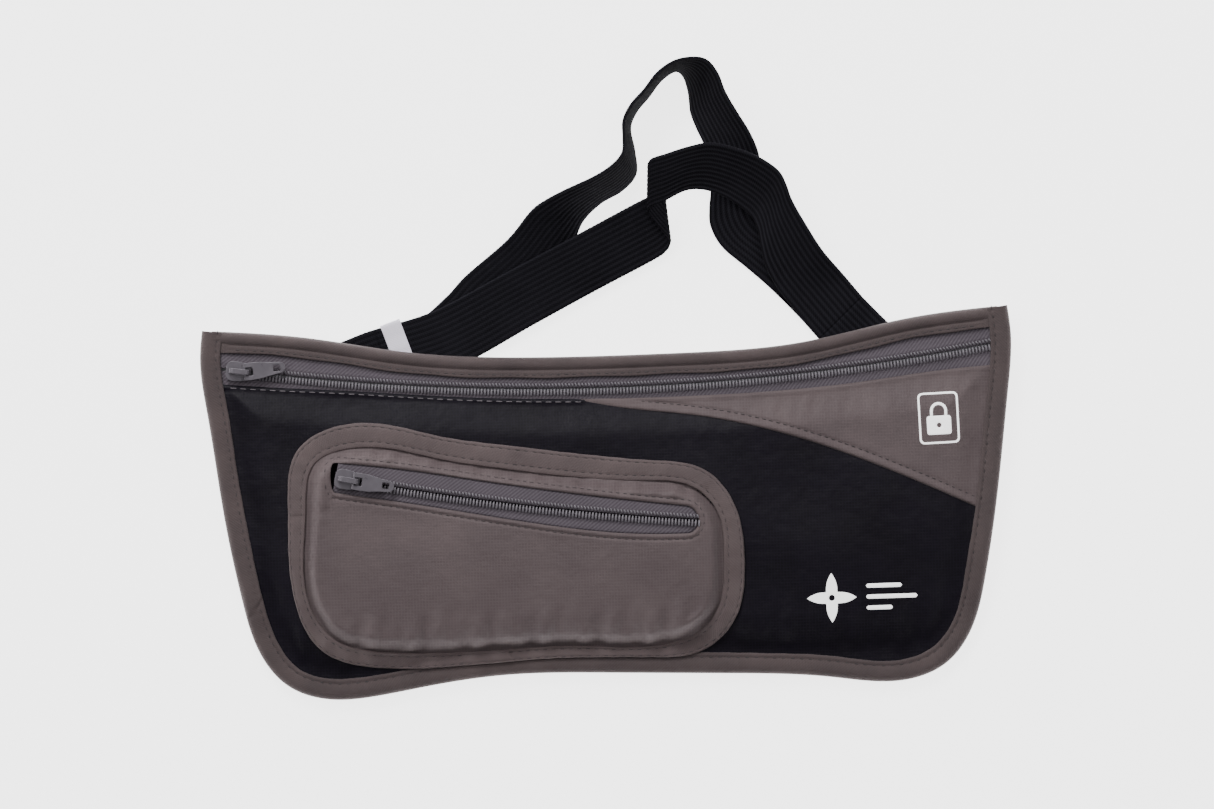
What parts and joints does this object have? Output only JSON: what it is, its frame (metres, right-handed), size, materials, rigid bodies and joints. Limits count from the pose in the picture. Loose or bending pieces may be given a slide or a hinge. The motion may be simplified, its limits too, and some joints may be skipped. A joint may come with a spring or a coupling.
{
  "type": "waist pouch",
  "caption": "Slim zipped waist pouch worn under clothing, with a zipped patch pocket, contrast wedge panel and a doubled elastic belt closed by a small side-release buckle.",
  "frame": {"origin": "middle of the whole outline, pouch and looped strap together, on the table it lies on", "axes": "+X along the pouch's width towards the wearer's left, +Y from the pouch's bottom edge towards its top edge, +Z out of its front; the pouch lies on its back"},
  "size_m": [0.294, 0.2286, 0.0237],
  "materials": {
    "accent_panel": "fine grey ripstop",
    "back_panel": "plain woven polyester",
    "buckle_plug": "moulded, fine grain",
    "buckle_prong_lower": "moulded, fine grain",
    "buckle_prong_upper": "moulded, fine grain",
    "buckle_socket": "moulded, fine grain",
    "buckle_tab": "woven webbing",
    "care_label": "white satin tape",
    "edge_binding": "folded grey binding",
    "front_panel": "fine black ripstop",
    "main_zip_coil_lower": "spun nylon coil",
    "main_zip_coil_upper": "spun nylon coil",
    "main_zip_pull": "satin grey enamel",
    "main_zip_slider": "satin grey enamel",
    "main_zip_tape_lower": "woven zip tape",
    "main_zip_tape_upper": "woven zip tape",
    "maker_print": "screen print",
    "pocket_binding": "folded grey binding",
    "pocket_panel": "fine grey ripstop",
    "pocket_zip_coil_lower": "spun nylon coil",
    "pocket_zip_coil_upper": "spun nylon coil",
    "pocket_zip_pull": "satin grey enamel",
    "pocket_zip_slider": "satin grey enamel",
    "pocket_zip_tape_lower": "woven zip tape",
    "pocket_zip_tape_upper": "woven zip tape",
    "rfid_liner_back": "metallised shielding cloth",
    "rfid_liner_front": "metallised shielding cloth",
    "security_print": "screen print",
    "strap_back_arch": "ribbed black elastic",
    "strap_back_left_end": "ribbed black elastic",
    "strap_back_left_run": "ribbed black elastic",
    "strap_back_right_end": "ribbed black elastic",
    "strap_back_right_run": "ribbed black elastic",
    "strap_end_hook": "ribbed black elastic",
    "strap_front_arch": "ribbed black elastic",
    "strap_front_fold": "ribbed black elastic",
    "strap_front_left_end": "ribbed black elastic",
    "strap_front_left_run": "ribbed black elastic",
    "strap_front_right_end": "ribbed black elastic",
    "strap_plug_loop": "ribbed black elastic",
    "top_binding": "folded grey binding",
    "tri_glide": "moulded, fine grain"
  },
  "bodies": {
    "pouch": {"accent_panel": "accent_panel", "back_panel": "back_panel", "buckle_socket": "buckle_socket", "buckle_tab": "buckle_tab", "care_label": "care_label", "edge_binding": "edge_binding", "front_panel": "front_panel", "main_zip_coil_lower": "main_zip_coil_lower", "main_zip_coil_upper": "main_zip_coil_upper", "main_zip_tape_lower": "main_zip_tape_lower", "main_zip_tape_upper": "main_zip_tape_upper", "maker_print": "maker_print", "pocket_binding": "pocket_binding", "pocket_panel": "pocket_panel", "pocket_zip_coil_lower": "pocket_zip_coil_lower", "pocket_zip_coil_upper": "pocket_zip_coil_upper", "pocket_zip_tape_lower": "pocket_zip_tape_lower", "pocket_zip_tape_upper": "pocket_zip_tape_upper", "rfid_liner_back": "rfid_liner_back", "rfid_liner_front": "rfid_liner_front", "security_print": "security_print", "strap_back_arch": "strap_back_arch", "strap_back_left_end": "strap_back_left_end", "strap_back_left_run": "strap_back_left_run", "strap_back_right_end": "strap_back_right_end", "strap_back_right_run": "strap_back_right_run", "strap_front_arch": "strap_front_arch", "strap_front_fold": "strap_front_fold", "strap_front_left_end": "strap_front_left_end", "strap_front_left_run": "strap_front_left_run", "strap_front_right_end": "strap_front_right_end", "top_binding": "top_binding"},
    "main_slider": {"main_zip_slider": "main_zip_slider"},
    "main_pull": {"main_zip_pull": "main_zip_pull"},
    "pocket_slider": {"pocket_zip_slider": "pocket_zip_slider"},
    "pocket_pull": {"pocket_zip_pull": "pocket_zip_pull"},
    "plug": {"buckle_plug": "buckle_plug", "strap_plug_loop": "strap_plug_loop"},
    "prong_upper": {"buckle_prong_upper": "buckle_prong_upper"},
    "prong_lower": {"buckle_prong_lower": "buckle_prong_lower"},
    "glide": {"tri_glide": "tri_glide", "strap_end_hook": "strap_end_hook"}
  },
  "joints": [
    {"name": "main_zip", "type": "hinge", "parent": "pouch", "child": "main_slider", "pos_m": [0, 0.8536, 0.0085], "axis": [0, 0, 1], "range_deg": [0, 17.6]},
    {"name": "main_pull_flip", "type": "hinge", "parent": "main_slider", "child": "main_pull", "pos_m": [-0.13077, 0.00572, 0.01077], "axis": [0.1179, -0.993, 0], "range_deg": [0, 115]},
    {"name": "pocket_zip", "type": "hinge", "parent": "pouch", "child": "pocket_slider", "pos_m": [0.11527, 0.94339, 0.0175], "axis": [0, 0, 1], "range_deg": [0, 6.9]},
    {"name": "pocket_pull_flip", "type": "hinge", "parent": "pocket_slider", "child": "pocket_pull", "pos_m": [-0.0923, -0.0348, 0.02002], "axis": [-0.1818, -0.9833, 0], "range_deg": [0, 115]},
    {"name": "buckle_release", "type": "slide", "parent": "pouch", "child": "plug", "axis": [0.9455, 0.3256, 0], "range_m": [0, 0.015], "deforming": ["strap_front_left_end", "strap_back_left_end", "buckle_prong_upper", "buckle_prong_lower"]},
    {"name": "prong_upper_squeeze", "type": "hinge", "parent": "plug", "child": "prong_upper", "pos_m": [-0.11286, 0.00693, 0.0023], "axis": [0, 0, 1], "range_deg": [0, 12], "stiffness_Nm_per_rad": 0.05, "deforming": ["buckle_prong_upper"]},
    {"name": "prong_lower_squeeze", "type": "hinge", "parent": "plug", "child": "prong_lower", "pos_m": [-0.10739, -0.00895, 0.0023], "axis": [0, 0, -1], "range_deg": [0, 12], "stiffness_Nm_per_rad": 0.05, "deforming": ["buckle_prong_lower"]},
    {"name": "strap_adjust", "type": "slide", "parent": "pouch", "child": "glide", "axis": [0.682, -0.7314, 0], "range_m": [0, 0.025], "deforming": ["strap_front_right_end"]}
  ]
}
